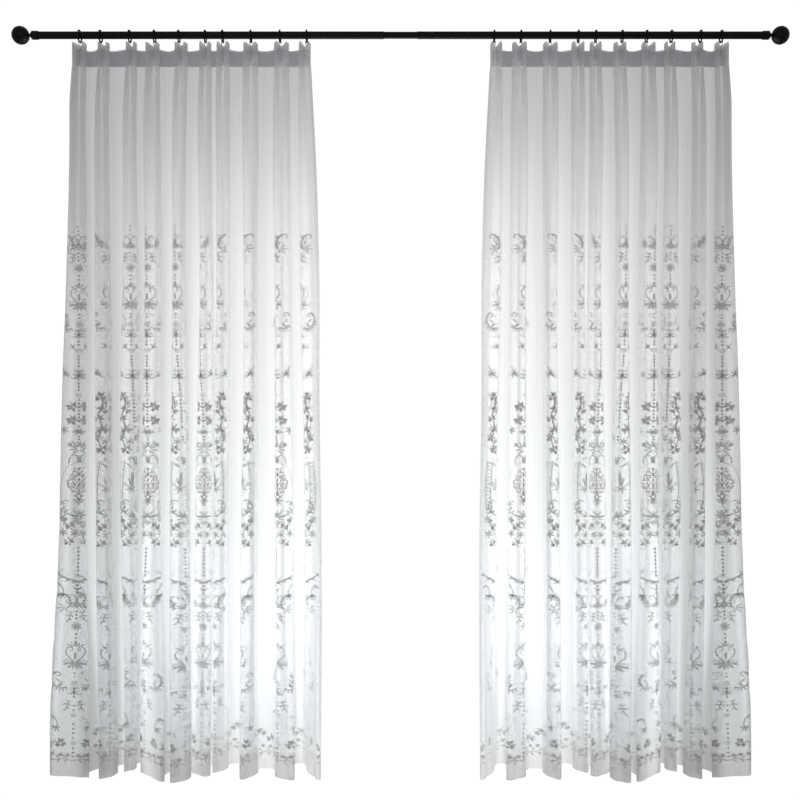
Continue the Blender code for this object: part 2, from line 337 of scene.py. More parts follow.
def fold_depth(fold, after, height):
    """The depth at which a fold takes up the cloth that its pleat holds at the heading."""
    cloth = cloth_used(fold, after, TAPE_FOOT, HEAD_DEPTH)
    low, high = LEAST_DEPTH, cloth
    for _ in range(DEPTH_HALVINGS):
        depth = (low + high) / 2
        if cloth_used(fold, after, height, depth) < cloth:
            low = depth
        else:
            high = depth
    return depth


def section(height):
    """The whole panel's section at one height, from its outer edge to its inner edge."""
    drape = smooth(share_of(height, KNEE_HEIGHT, HEM_HEIGHT))
    hung = blend(NECK_Y, WAIST_NECK_Y, smooth(share_of(height, TAPE_FOOT, WAIST_HEIGHT)))
    folds = []
    for fold, after in zip(FOLDS, FOLDS[1:] + (None,)):
        depth = fold_depth(fold, after, height)
        front = blend(hung - depth, fold.front * MM, drape)
        folds.append([(s, y + front) for s, y in fold_places(fold, height, depth)])
    points = []
    for fold, places, following in zip(FOLDS, folds, folds[1:]):
        start, end = places[-1], following[0]
        back = max(start[1], end[1]) + bow_at(fold, height)
        points += places + [(blend(start[0], end[0], share), back) for share in (1 / 3, 2 / 3)]
    return points + folds[-1]


def edge_height(column, place):
    """The cut top edge, a little uneven from pleat to pleat."""
    return -EDGE_DROP[place] + EDGE_UNEVEN * math.sin(EDGE_BEAT * column)


def hem_height(column):
    return HEM_HEIGHT + HEM_UNEVEN * math.sin(HEM_BEAT * column + HEM_PHASE)


def running(lengths):
    return np.concatenate([[0.0], np.cumsum(lengths)])


def softened(points, steps):
    """A soft curve through the points, placed by their first two numbers. The rest go along."""
    points = np.array(points, float)
    ends = np.vstack([2 * points[0] - points[1], points, 2 * points[-1] - points[-2]])
    gaps = np.sqrt(np.maximum(np.linalg.norm(np.diff(ends[:, :2], axis=0), axis=1), 1e-6))
    knots = running(gaps)
    t0, t1, t2, t3 = (knots[i : len(knots) - 3 + i, None, None] for i in range(4))
    p0, p1, p2, p3 = (ends[i : len(ends) - 3 + i, None, :] for i in range(4))
    t = t1 + (t2 - t1) * np.linspace(0, 1, steps, endpoint=False)[None, :, None]

    def part(start, end, first, last):
        return (end - t) / (end - start) * first + (t - start) / (end - start) * last

    a1, a2, a3 = part(t0, t1, p0, p1), part(t1, t2, p1, p2), part(t2, t3, p2, p3)
    curve = part(t1, t2, part(t0, t2, a1, a2), part(t1, t3, a2, a3))
    return np.vstack([curve.reshape(-1, points.shape[1]), points[-1]])


def even_columns(height):
    """One row of the fine cloth: each pleat cut into as many even steps of its own cloth."""
    points = [
        (s, y, edge_height(i, PLACES[i]), hem_height(i)) for i, (s, y) in enumerate(section(height))
    ]
    curve = softened(points, SPAN_STEPS)
    starts = [i * len(PLEAT_PLACES) * SPAN_STEPS for i in range(len(FOLDS))] + [len(curve) - 1]
    rows, lengths = [], []
    for start, end, count in zip(starts, starts[1:], COLUMN_COUNTS):
        piece = curve[start : end + 1]
        along = running(np.linalg.norm(np.diff(piece[:, :2], axis=0), axis=1))
        steps = np.linspace(0, along[-1], count, endpoint=False)
        rows.append(np.stack([np.interp(steps, along, piece[:, k]) for k in range(4)], axis=1))
        lengths.append(along[-1])
    rows.append(curve[-1:])
    return np.vstack(rows), lengths


def wave_sum(u, v, waves):
    """The height of these waves over the cloth, about 1 on the whole."""
    chance = np.random.RandomState(waves.seed)
    ku = chance.uniform(*waves.across, waves.count)
    kv = chance.uniform(*waves.down, waves.count) * chance.choice([-1, 1], waves.count)
    phases = chance.uniform(0, 2 * math.pi, waves.count)
    sizes = (waves.across[0] / ku) ** waves.falloff
    total = np.zeros(np.broadcast(u, v).shape)
    for wave in zip(ku, kv, phases, sizes / np.sqrt((sizes**2).sum())):
        total += wave[3] * np.sin(wave[0] * u + wave[1] * v + wave[2])
    return total


def row_heights():
    """Heights of the level rows, from the foot of the heading tape to the top of the hem's foot."""
    head = np.linspace(TAPE_FOOT, HEAD_FALL_END, HEAD_FALL_ROWS, endpoint=False)
    body = np.linspace(HEAD_FALL_END, BODY_END, BODY_ROWS, endpoint=False)
    foot = np.linspace(BODY_END, HEM_HEIGHT, HEM_ROWS + 1)
    return list(head) + list(body) + list(foot)


class HungCloth:
    """One panel's fine cloth: its points in rows, and the flat cloth's own measures."""

    def __init__(self):
        heights = row_heights()
        made = [even_columns(height) for height in heights]
        lengths = np.array([m[1] for m in made]).mean(axis=0)
        starts = running(lengths)
        across = [
            start + np.arange(count) / count * length
            for start, count, length in zip(starts, COLUMN_COUNTS, lengths)
        ]
        self.across = np.concatenate(across + [starts[-1:]])
        self.width = float(starts[-1])
        head = made[0][0]
        rows = []
        for step in range(HEADING_ROWS):
            z = blend(head[:, 2], TAPE_FOOT, step / HEADING_ROWS)
            rows.append(np.stack([head[:, 0], head[:, 1], z], axis=1))
        for height, (row, _) in zip(heights, made):
            share = share_of(height, BODY_END, HEM_HEIGHT)
            z = height + share * (row[:, 3] - HEM_HEIGHT)
            rows.append(np.stack([row[:, 0], row[:, 1], z], axis=1))
        self.points = np.array(rows)
        self.length = float(-HEM_HEIGHT + self.points[0, :, 2].mean())
        self.soften_hang()

    def normals(self):
        down = np.gradient(self.points, axis=0)
        over = np.gradient(self.points, axis=1)
        cross = np.cross(down, over)
        return cross / np.maximum(np.linalg.norm(cross, axis=2, keepdims=True), 1e-12)

    def soften_hang(self):
        """Small unevenness of real cloth: soft flutes, gathers under the tape and a slow sway."""
        u, z = self.across[None, :], self.points[:, :, 2]
        below = np.clip(TAPE_FOOT - z, 0, None)
        free = smooth(np.clip(below / FREE_SPAN, 0, 1))
        gather = GATHER * np.exp(-below / GATHER_FADE) * np.clip(below / GATHER_START, 0, 1)
        lift = FLUTTER * wave_sum(u, z, FLUTES) * free + gather * wave_sum(u, z, GATHERS)
        self.points += self.normals() * lift[:, :, None]
        self.points[:, :, 0] += SWAY * wave_sum(u, z, SWAYS) * free

    def at_flat(self, grid, u, z):
        """The grid's values for flat places (u across, z height) on the cloth."""
        heights = self.points[:, :, 2].mean(axis=1)
        column = np.interp(u, self.across, np.arange(len(self.across)))
        row = np.interp(-z, -heights, np.arange(len(heights)))
        c = np.clip(column.astype(int), 0, len(self.across) - 2)
        r = np.clip(row.astype(int), 0, len(heights) - 2)
        fc, fr = (column - c)[:, None], (row - r)[:, None]
        top = grid[r, c] * (1 - fc) + grid[r, c + 1] * fc
        low = grid[r + 1, c] * (1 - fc) + grid[r + 1, c + 1] * fc
        return top * (1 - fr) + low * fr

    def laid_on(self, u, z, rise):
        """Points in space for flat places on the cloth, lifted off it by rise."""
        facing = self.at_flat(self.normals(), u, z)
        facing /= np.maximum(np.linalg.norm(facing, axis=1, keepdims=True), 1e-12)
        return self.at_flat(self.points, u, z) + facing * rise

    def turned_away(self, u, z):
        """Whether flat places lie on a fold's steep side, where needlework would be squeezed."""
        return np.abs(self.at_flat(self.normals(), u, z)[:, 1]) < STEEP


def ray(angle, radius, centre=(0, 0)):
    """The place that lies this far from the centre in that direction."""
    return (centre[0] + radius * math.cos(angle), centre[1] + radius * math.sin(angle))


class Needlework:
    """Satin stitch drawn flat, across and down in millimetres, on both sides of the beads."""

    def __init__(self):
        self.points, self.faces, self.tones = [], [], []
        self.middle = (0, 0)
        self.tone = 0.0

    def at(self, drop=0, x=0, tone=None):
        """The same needlework, drawn from a place further down or out, or in another tone."""
        moved = Needlework()
        moved.points, moved.faces, moved.tones = self.points, self.faces, self.tones
        moved.middle = (self.middle[0] + x, self.middle[1] + drop)
        moved.tone = self.tone if tone is None else tone
        return moved

    def add(self, points, faces):
        x0, y0 = self.middle
        for side in (1, -1):
            first = len(self.points)
            self.points += [(side * (x0 + x), y0 + y) for x, y in points]
            self.faces += [tuple(first + i for i in (f if side > 0 else f[::-1])) for f in faces]
            self.tones += [self.tone] * len(points)

    def stitch(self, points, widths):
        """A band of stitches along the points, as wide at each as widths says."""
        points = np.array(points, float)
        slope = np.gradient(points, axis=0)
        slope /= np.maximum(np.linalg.norm(slope, axis=1, keepdims=True), 1e-9)
        out = np.stack([-slope[:, 1], slope[:, 0]], axis=1) * np.array(widths)[:, None] / 2
        n = len(points)
        faces = [(i, i + 1, n + i + 1, n + i) for i in range(n - 1)]
        self.add(np.concatenate([points + out, points - out]), faces)

    def stem(self, points, start, end):
        """A soft line through the points that thins from start to end."""
        curve = softened(points, STEM_STEPS)
        self.stitch(curve, np.linspace(start, end, len(curve)) * STEM_BOLD)

    def leaf(self, base, tip, width, bend=0.0):
        """A pointed leaf from base to tip, bent to one side by that share of its length."""
        base, tip = np.array(base, float), np.array(tip, float)
        along = tip - base
        across = np.array([-along[1], along[0]])
        steps = np.linspace(0, 1, LEAF_STEPS)
        line = [base + along * t + across * bend * 4 * t * (1 - t) for t in steps]
        swell = [0.25 + 0.75 * math.sin(math.pi * min(0.12 + 0.8 * t, 1.0)) for t in steps[:-1]]
        self.stitch(line, [width * share for share in swell] + [LEAF_POINT])

    def leaves(self, *leaves):
        """Leaves, each as its base across and down, its tip across and down, and its width."""
        for x0, y0, x1, y1, width in leaves:
            self.leaf((x0, y0), (x1, y1), width)

    def burst(self, base, width, *tips):
        """Leaves that spring from one place."""
        for tip in tips:
            self.leaf(base, tip, width)

    def fan(self, centre, reach, width, *directions):
        """Leaves round a centre: one for each (degrees below level, share of the reach)."""
        for degrees, share in directions:
            turn = math.radians(degrees)
            self.leaf(ray(turn, FAN_INNER, centre), ray(turn, reach * share, centre), width)

    def bead(self, centre, radius, sides=8):
        points = [ray(2 * math.pi * i / sides, radius, centre) for i in range(sides)]
        self.add(points, [tuple(range(sides))])

    def beads(self, drops, radius=3.3):
        """A string of beads down the middle."""
        for drop in drops:
            self.bead((0, drop), radius)

    def flower(self, centre, radius, petals=5, turn=0.3):
        for i in range(petals):
            angle = turn + 2 * math.pi * i / petals
            self.leaf(ray(angle, 0.2 * radius, centre), ray(angle, radius, centre), radius * 0.72)
        self.bead(centre, radius * 0.28, 6)

    def curl(self, centre, radius, start, sweep, width, shrink=0.25):
        """A scroll's curl, from start degrees on, closing in as it sweeps round."""
        steps = max(6, int(abs(sweep) / CURL_DEGREES))
        line = []
        for i in range(steps + 1):
            share = i / steps
            angle = math.radians(start + sweep * share)
            line.append(ray(angle, radius * (1 - (1 - shrink) * share), centre))
        self.stitch(line, np.linspace(width, width * 0.8, steps + 1) * STEM_BOLD)


def feather(work):
    """An arm out to one side that rises into a feathered leaf."""
    work.stem([(5, 5), (15, 11), (26, 9), (35, -1), (41, -16)], 2.4, 2.0)
    work.leaves((41, -15, 46, -35, 4.6), (24, 9, 33, 17, 4.4), (30, 5, 42, 9, 4.4))
    work.leaves((35, -1, 48, -2, 4.4), (38, -8, 52, -14, 4.4), (29, 4, 24, -8, 4.4))
    work.leaves((34, -2, 30, -16, 4.4), (38, -10, 36, -26, 4.4))


def open_scroll(work):
    """A C scroll that opens to the outside, with leaves at its foot."""
    work.curl((43, -23), 8.5, 40, -220, 2.6, 0.8)
    work.stem([(37, -30), (27, -20), (19, -4), (19, 11), (27, 20)], 3.2, 3.2)
    for x, y in ((29, -20), (24, -12), (20, -3), (18, 6)):
        work.leaf((x, y), (x - 9, y - 7), 4.0)
    work.fan((27, 18), 26, 4.6, (-34, 1.0), (2, 1.1), (38, 0.95), (84, 0.6))
    work.stem([(5, 4), (12, 12), (22, 15)], 2.2, 2.2)


def crest(work, spread):
    """A flower head under two curls. Its arms end in leaves, or in an open scroll."""
    work.bead((0, 0), 5.0)
    work.leaf((0, -7), (0, -21), 4.4)
    work.stem([(2, -5), (5, -14), (9, -22)], 1.8, 1.8)
    work.curl((15.5, -20), 7.0, 180, 250, 2.0, 0.45)
    work.stem([(4, 0), (14, 5), (25, 2)], 2.0, 1.8)
    work.curl((25, -4), 6.0, 90, -200, 1.8, 0.5)
    work.leaves((3, 5, 14, 18, 5.0), (1, 6, 4, 21, 4.6))
    arm = feather if spread else open_scroll
    arm(work)


def sprig_pair(work):
    """Two drooping sprigs, one on each side of the string of beads."""
    work.stem([(7, -14), (13, -12), (18, -2), (20, 10)], 2.0, 1.6)
    work.leaves((12, -12, 24, -18, 4.4), (17, -5, 6, 3, 4.4), (17, -5, 30, -3, 4.8))
    work.leaves((19, 4, 12, 14, 4.2), (20, 8, 28, 19, 4.6))


def rosette(work, radius):
    """Eight leaves round a bead. Four are drawn, as the other half comes by itself."""
    for i in range(8):
        angle = 2 * math.pi * (i + 0.5) / 8
        if math.cos(angle) > 0:
            work.leaf(ray(angle, 4), ray(angle, radius), radius * 0.36)
    work.bead((0, 0), radius * 0.24)


def heart(work):
    """Two C scrolls that meet below, with a drop between them."""
    work.stem([(0, 50), (12, 38), (22, 26), (25, 12), (20, 1), (12, 0)], 2.4, 2.0)
    work.curl((12, 7), 6.5, -90, -250, 2.0, 0.5)
    work.leaves((0, 16, 0, 42, 8.0), (3, -2, 12, -17, 4.6), (2, -3, 2, -22, 4.0))
    work.leaf((8, -1), (25, -11), 4.6)


def palmette(work):
    """Round lobed leaves that spread and droop on both sides."""
    work.stem([(1, 2), (11.9, -8), (25.5, -9)], 2.0, 1.8)
    work.curl((26.52, -4), 5.0, -90, 200, 1.8, 0.5)
    work.leaf((3, 0), (32.3, 7), 9.0, -0.08)
    work.leaf((2, 3), (21.08, 19), 9.0, -0.05)
    work.leaf((1, 5), (6.8, 22), 6.0)


def fleur(work, size):
    """A flower of curled leaves on two short arms."""
    work.leaf((0, -2), (0, -22 * size), 5.5 * size)
    work.curl((11 * size, -13 * size), 6.0 * size, 130, 270, 2.0)
    for x0, y0, x1, y1, width in ((2, 0, 19, -3, 5.0), (1, 2, 13, 13, 5.0), (0, 2, 3, 20, 4.4)):
        work.leaf((x0, y0), (x1 * size, y1 * size), width * size)
    work.stem([(2, 3), (12 * size, 9 * size), (24 * size, 6 * size)], 2.2, 1.8)
    work.bead((0, 0), 5.0 * size)


def side_scroll(work):
    """A leafy C scroll beside the string of beads."""
    work.curl((44, -20), 10.0, -20, -300, 2.6)
    work.stem([(51, -27), (59, -15), (60, 0), (53, 15), (38, 24), (20, 22)], 3.8, 2.6)
    work.leaves((59, 2, 71, 2, 4.2), (57, 9, 69, 14, 4.2), (52, 16, 61, 26, 4.2))
    work.leaves((45, 21, 51, 34, 4.2), (38, 24, 40, 38, 4.2), (31, 25, 29, 37, 4.2))
    work.leaves((24, 23, 19, 33, 4.2), (50, -8, 37, 6, 5.0), (46, 17, 30, 9, 5.0))
    work.leaf((40, 20), (33, 2), 4.2)


def arrow_spray(work):
    """A star of leaves beyond the flower's arm."""
    work.stem([(24, 6), (32, 6), (39, 0)], 2.2, 2.4)
    work.leaf((38, 0), (52, -30), 5.0, 0.06)
    work.burst((39, 1), 5.0, (36, -16), (54, -6), (56, 8), (47, 16), (27, 14), (25, -4))


def flower_cluster(work, flowers, reach):
    """Small flowers close together, with leaves that stand out between them."""
    for i, (across, down, radius) in enumerate(flowers):
        work.flower((across, down), radius, 5 + i % 2, 0.3 + 0.7 * i)
    for degrees in (-100, -38, 24, 86, 148, 210):
        turn = math.radians(degrees + 9 * len(flowers))
        work.leaf(ray(turn, 6), ray(turn, reach), 5.0)


# Clusters: place across and down, their flowers as (across, down, radius), and the leaves' reach
SPRAYS = (
    (30, 1228, ((0, -6, 8.5), (7, 7, 7.5), (-7, 6, 7.0)), 19),
    (18, 1250, ((0, 0, 7.0),), 12),
    (24, 1272, ((4, -4, 9.0), (-7, 6, 7.5)), 18),
    (34, 1302, ((-3, -3, 8.0), (9, 4, 7.5)), 17),
    (24, 1336, ((0, 0, 9.0), (10, 8, 7.0), (-9, 6, 6.5)), 20),
    (38, 1364, ((0, -2, 8.5), (5, 9, 7.0)), 17),
    (16, 1380, ((0, 0, 7.0),), 13),
    (26, 1406, ((-6, -6, 7.0), (6, 2, 8.0), (-5, 10, 6.5)), 18),
)
FULL_CLUSTERS = (
    (19, 1262, ((-5, -5, 8.5), (7, 2, 9.0), (-3, 10, 7.0)), 20),
    (19, 1308, ((-4, -5, 8.5), (8, 1, 9.0), (-2, 9, 7.5)), 20),
)
LOW_CLUSTERS = (
    (45, 1640, ((0, 0, 7.5), (-9, 7, 6.5)), 15),
    (22, 1668, ((-4, -4, 7.0), (7, 3, 7.5)), 15),
    (42, 1690, ((0, 0, 8.0),), 15),
    (12, 1694, ((0, 0, 7.0),), 13),
    (26, 1720, ((-5, -1, 7.5), (7, 6, 6.5)), 16),
)
HEM_CLUSTERS = (
    (34, 2392, SPRAYS[0][2], 17),
    (74, 2400, SPRAYS[3][2], 18),
    (104, 2378, SPRAYS[2][2], 15),
)


def clusters(work, table, tone):
    for x, drop, flowers, reach in table:
        flower_cluster(work.at(drop, x, tone), flowers, reach)


def bouquet(work):
    """A pointed oval bunch of leaves that spring from a knot at its foot."""
    chance = np.random.RandomState(BUNCH_SEED)
    for row in range(BUNCH_ROWS):
        share = 0.12 + 0.84 * row / (BUNCH_ROWS - 1)
        half = BUNCH_REACH * math.sin(math.pi * min(1.0, 0.12 + 0.86 * share) ** 0.85)
        for x in np.arange(2.0 + 4.0 * (row % 2), half, 8.5):
            across = x + chance.uniform(-1.5, 1.5)
            place = (across, -BUNCH_HEIGHT * share + chance.uniform(-2.5, 2.5))
            turn = math.radians(-90 + 55 * x / BUNCH_REACH + chance.uniform(-45, 45))
            length = chance.uniform(5, 8)
            (x0, y0), (x1, y1) = ray(turn, -0.5 * length, place), ray(turn, length, place)
            shaded = work.at(tone=work.tone * chance.uniform(0.5, 1.0))
            shaded.leaf((max(x0, 0.5), y0), (max(x1, 0.0), y1), 4.8)
    for lean, share in ((0.0, 0.96), (0.55, 0.8), (0.95, 0.5)):
        across, up = BUNCH_REACH * lean, BUNCH_HEIGHT * share
        work.stem([(1, 0), (across * 0.8, -up * 0.45), (across, -up)], 1.3, 1.0)


def tulip_knot(work):
    """The knot under the bunch, with leaves that hang from it."""
    work.stem([(1, -12), (7, -6), (3, 0), (0, 4)], 2.6, 2.6)
    work.leaves((2, 0, 15, -11, 5.0), (1, 3, 9, 20, 5.6), (2, 2, 17, 10, 4.6), (0, 4, 0, 28, 6.0))


def blade_and_leaves(work):
    """A dark upright blade with a leafy foot."""
    dark = work.at(tone=0.2)
    dark.leaves((0, 52, -2, 0, 9.5), (3, 48, 10, 20, 5.0))
    dark.burst((0, 58), 5.0, (15, 48), (18, 62), (9, 74), (-7, 68), (-10, 52))
    work.curl((19, 40), 6.5, 150, -280, 2.0)


def lattice_band(work, height):
    """A bowed band of trellis with a dot in each window."""
    steps = [i / LATTICE_CELLS for i in range(LATTICE_CELLS + 1)]
    rails = [(LATTICE_BOW * math.sin(math.pi * t) - 2.0, height * t) for t in steps]
    half = LATTICE_WIDTH / 2
    for side in (-half, half):
        work.stitch([(x + side, y) for x, y in rails], [2.4] * len(rails))
    for i, ((x0, y0), (x1, y1)) in enumerate(zip(rails, rails[1:])):
        out = half if i % 2 else -half
        for way in (-out, out):
            work.stitch([(x0 + way, y0), (x1 - way, y1)], [2.0, 2.0])
        work.bead((x0 + out * 0.6, (y0 + y1) / 2), 2.0, sides=5)


def closed_scroll(work, x):
    """A C scroll that stands on the string of beads, its curl above."""
    scroll = work.at(0, x)
    scroll.curl((0, -15), 10.0, 200, 300, 2.4)
    scroll.stem([(9, -19), (15, -6), (12, 8), (0, 20), (-14, 27), (3 - x, 31)], 3.2, 2.4)
    scroll.leaves((10, 8, -2, -4, 5.0), (2, 18, -9, 7, 5.0), (13, 0, 23, 9, 4.4))
    scroll.leaf((8, 13), (17, 25), 4.4)


def garland(work, rise, reach, flowers):
    """A swag of small flowers, lowest at the string of beads."""
    def on_swag(share):
        return (reach * share, -rise * share**1.7)

    work.stem([on_swag(i / 6) for i in range(7)], 1.4, 1.2)
    for i in range(flowers):
        share = (i + 0.35) / flowers
        x, y = on_swag(share)
        work.flower((x, y), 6.6 - 0.35 * i, 5, 0.3 + i)
        work.leaves((x + 4, y - 2, x + 12, y - 12, 4.2), (x + 4, y + 1, x + 11, y + 8, 4.2))
        work.bead(on_swag(share + 0.5 / flowers), 2.6)


def leafy_curl(work):
    """An S scroll with leaves at its foot."""
    work.curl((13, -18), 8.0, 0, -230, 2.2, 0.45)
    work.stem([(20, -18), (12, -28), (3, -18), (-3, 0), (0, 12)], 2.0, 2.4)
    work.burst((0, 10), 5.0, (15, 6), (15, 19), (4, 28), (-9, 26), (-14, 10))


def chain_of_motifs(work, spread):
    """The run from the topmost beads to the second rosette, which comes again lower down."""
    work.beads((656, 670, 683))
    crest(work.at(714), spread)
    work.beads((744, 756, 768))
    sprig_pair(work.at(762))
    rosette(work.at(794), 16)
    work.beads((820, 833, 846))
    heart(work.at(864))
    palmette(work.at(916))
    work.beads((950, 962), 2.8)
    rosette(work.at(984), 10.5)
    side_scroll(work.at(975))


def bunch_in_frame(work):
    """The bunch of leaves on its knot, in a thin frame, with an arch over it."""
    work.fan((1, 1404), 33, 5.4, (-84, 0.8), (-52, 1.0), (-20, 1.05), (14, 0.85))
    work.at(tone=0.2).flower((25, 1390), 7.5)
    work.leaf((2, 1410), (18, 1422), 6.0)
    work.stem([(3, 1454), (7, 1430), (16, 1426), (25, 1436), (27, 1456)], 2.6, 2.6)
    work.at(tone=0.4).leaf((0, 1452), (0, 1426), 5.0)
    bouquet(work.at(1562, tone=0.8))
    tulip_knot(work.at(1572, tone=0.4))
    frame_line = [(6, 1452), (30, 1466), (46, 1505), (48, 1560), (38, 1610), (12, 1640)]
    work.at(tone=0.3).stem(frame_line, 1.0, 1.0)
    closed_scroll(work.at(1604), 36)


def blade_by_lattice(work):
    """The blade beside its band of trellis."""
    work.curl((14, 1440), 8.5, 180, 300, 2.2)
    work.leaves((4, 1430, 2, 1460, 6.0), (26, 1452, 10, 1468, 5.5))
    blade_and_leaves(work.at(1480, 10))
    lattice_band(work.at(1446, 41), 176)
    closed_scroll(work.at(1600), 28)


def middle_run(work, full):
    """The tall middle of the pattern. Some columns carry the bunch of leaves, the others sprays."""
    fleur(work.at(1018), 0.9)
    work.beads((1042, 1053), 3.6)
    rosette(work.at(1074), 9.5)
    work.stem([(5, 1072), (15, 1066), (19, 1054)], 2.0, 1.6)
    work.burst((17, 1064), 4.6, (13, 1050), (26, 1047), (29, 1062))
    work.beads((1092, 1103, 1114, 1125), 3.6)
    fleur(work.at(1156), 1.05)
    arrow_spray(work.at(1150))
    work.beads((1184, 1195, 1206), 3.6)
    rosette(work.at(1223), 9.5)
    work.beads(range(1240, 1313, 12), 3.5)
    if full:
        clusters(work, FULL_CLUSTERS, 0.3)
        flower_cluster(work.at(1342, 42, 0.2), ((0, 0, 8.0),), 15)
        work.leaves((1, 1348, 20, 1348, 8.0), (0, 1348, 9, 1337, 6.0), (0, 1349, 9, 1359, 6.0))
    else:
        clusters(work, SPRAYS, 0.1)
        stalk = [(34, 1216), (24, 1252), (33, 1290), (25, 1330), (34, 1366), (26, 1412)]
        work.stem(stalk, 1.8, 1.8)
    work.beads((1330, 1364, 1374), 3.4)
    if full:
        bunch_in_frame(work)
    else:
        blade_by_lattice(work)
    work.leaves((1, 1632, 17, 1612, 5.6), (2, 1634, 24, 1630, 5.0), (0, 1634, 0, 1612, 5.0))
    work.stem([(2, 1634), (10, 1642), (20, 1642)], 2.2, 2.0)
    olive = work.at(tone=0.3)
    olive.curl((14, 1658), 8.5, 180, 300, 2.2)
    olive.curl((34, 1664), 7.0, 0, -290, 2.0)
    rosette(olive.at(1654), 10)
    clusters(work, LOW_CLUSTERS, 0.5)
    work.stem([(34, 1660), (44, 1650), (56, 1655)], 2.0, 1.6)
    work.beads([1742 + 12.8 * i for i in range(8)], 4.0)
    garland(work.at(1856), 42, 70, 4)
    work.beads((1868, 1879, 1890), 3.5)
    leafy_curl(work.at(1888, 40))
    work.leaf((2, 1884), (14, 1872), 4.6)


def lower_runs(work):
    """Everything below the second group, down to the border over the hem."""
    work.beads((2212, 2240, 2268, 2284, 2330, 2345, 2360, 2376))
    fleur(work.at(2222), 0.8)
    sprig_pair(work.at(2268))
    rosette(work.at(2300), 9)
    leafy_curl(work.at(2330, 46))
    rosette(work.at(2392), 9)
    clusters(work, HEM_CLUSTERS, 0.1)
    work.beads((2410, 2424, 2438), 3.4)
    work.stem([(0, 2452), (24, 2446), (52, 2452), (84, 2446), (113, 2452)], 1.8, 1.8)
    for x in (14, 34, 56, 78, 100):
        sprig = work.at(0, x, 0.2)
        sprig.flower((0, 2436 - 0.1 * x), 7.0)
        sprig.leaves((4, 2444, 14, 2432, 4.5), (2, 2449, 10, 2461, 4.5))


def motif_mesh(name, full, spread):
    """The whole height of the pattern for one column, flat and in metres."""
    work = Needlework()
    chain_of_motifs(work, spread)
    middle_run(work, full)
    chain_of_motifs(work.at(CHAIN_PITCH), spread)
    lower_runs(work)
    mesh = bpy.data.meshes.new(name)
    mesh.from_pydata([(x * MM, 0.0, -y * MM) for x, y in work.points], [], work.faces)
    tones = mesh.attributes.new("thread_tone", "FLOAT", "POINT")
    tones.data.foreach_set("value", np.array(work.tones, np.float32))
    mesh.update()
    return bpy.data.objects.new(name, mesh)


def linked(name, data):
    obj = bpy.data.objects.new(name, data)
    bpy.context.scene.collection.objects.link(obj)
    return obj


def made_plain(obj):
    """Keeps what the object's modifier makes of it as a plain mesh."""
    bpy.context.view_layer.update()
    result = obj.evaluated_get(bpy.context.evaluated_depsgraph_get())
    mesh = bpy.data.meshes.new_from_object(result)
    obj.modifiers.clear()
    obj.data = mesh
    return obj


class Nodes:
    """A node tree under construction, with short ways to add its nodes and join them."""

    def __init__(self, tree):
        self.tree = tree
        tree.nodes.clear()

    def node(self, kind, inputs=None, **settings):
        made = self.tree.nodes.new(kind)
        for key, value in settings.items():
            setattr(made, key, value)
        for key, value in (inputs or {}).items():
            if isinstance(value, bpy.types.NodeSocket):
                self.tree.links.new(value, made.inputs[key])
            else:
                made.inputs[key].default_value = value
        return made

    def out(self, kind, inputs=None, **settings):
        """The first output of a new node."""
        return self.node(kind, inputs, **settings).outputs[0]

    def sum(self, operation, a, b=0.0, c=0.0):
        return self.out("ShaderNodeMath", {0: a, 1: b, 2: c}, operation=operation)

    def mixed(self, share, first, second):
        return self.out("ShaderNodeMixShader", {0: share, 1: first, 2: second})

    def seen(self, light, behind, bare):
        """The first shader for light, the second seen through the cloth, the third seen bare."""
        rays = self.node("ShaderNodeLightPath").outputs
        is_bare = self.sum("LESS_THAN", rays["Transparent Depth"], 0.5)
        return self.mixed(rays["Is Camera Ray"], light, self.mixed(is_bare, behind, bare))


def geometry_tree(name, sizes):
    """A geometry tree with one named input for each of its sizes."""
    tree = bpy.data.node_groups.new(name, "GeometryNodeTree")
    for label, kind in {"Geometry": "Geometry", **sizes}.items():
        tree.interface.new_socket(label, in_out="INPUT", socket_type=f"NodeSocket{kind}")
    tree.interface.new_socket("Geometry", in_out="OUTPUT", socket_type="NodeSocketGeometry")
    nodes = Nodes(tree)
    return nodes, nodes.node("NodeGroupInput").outputs


def stood_on_points(nodes, given, instance, coat):
    """Ends a tree: what it instances on the points, made real, with its material."""
    stood = nodes.out("GeometryNodeInstanceOnPoints", {"Points": given["Geometry"], **instance})
    real = nodes.out("GeometryNodeRealizeInstances", {"Geometry": stood})
    coated = nodes.out("GeometryNodeSetMaterial", {"Geometry": real, "Material": given[coat]})
    nodes.node("NodeGroupOutput", {"Geometry": coated})
    return nodes.tree


def repeat_tree():
    """Stands on each point the motif of the collection that its motif number picks."""
    nodes, given = geometry_tree("pattern_repeat", {"Motifs": "Collection", "Thread": "Material"})
    motifs = nodes.out(
        "GeometryNodeCollectionInfo",
        {"Collection": given["Motifs"], "Separate Children": True, "Reset Children": True},
    )
    number = nodes.out("GeometryNodeInputNamedAttribute", {"Name": "motif_number"}, data_type="INT")
    picked = {"Instance": motifs, "Pick Instance": True, "Instance Index": number}
    return stood_on_points(nodes, given, picked, "Thread")


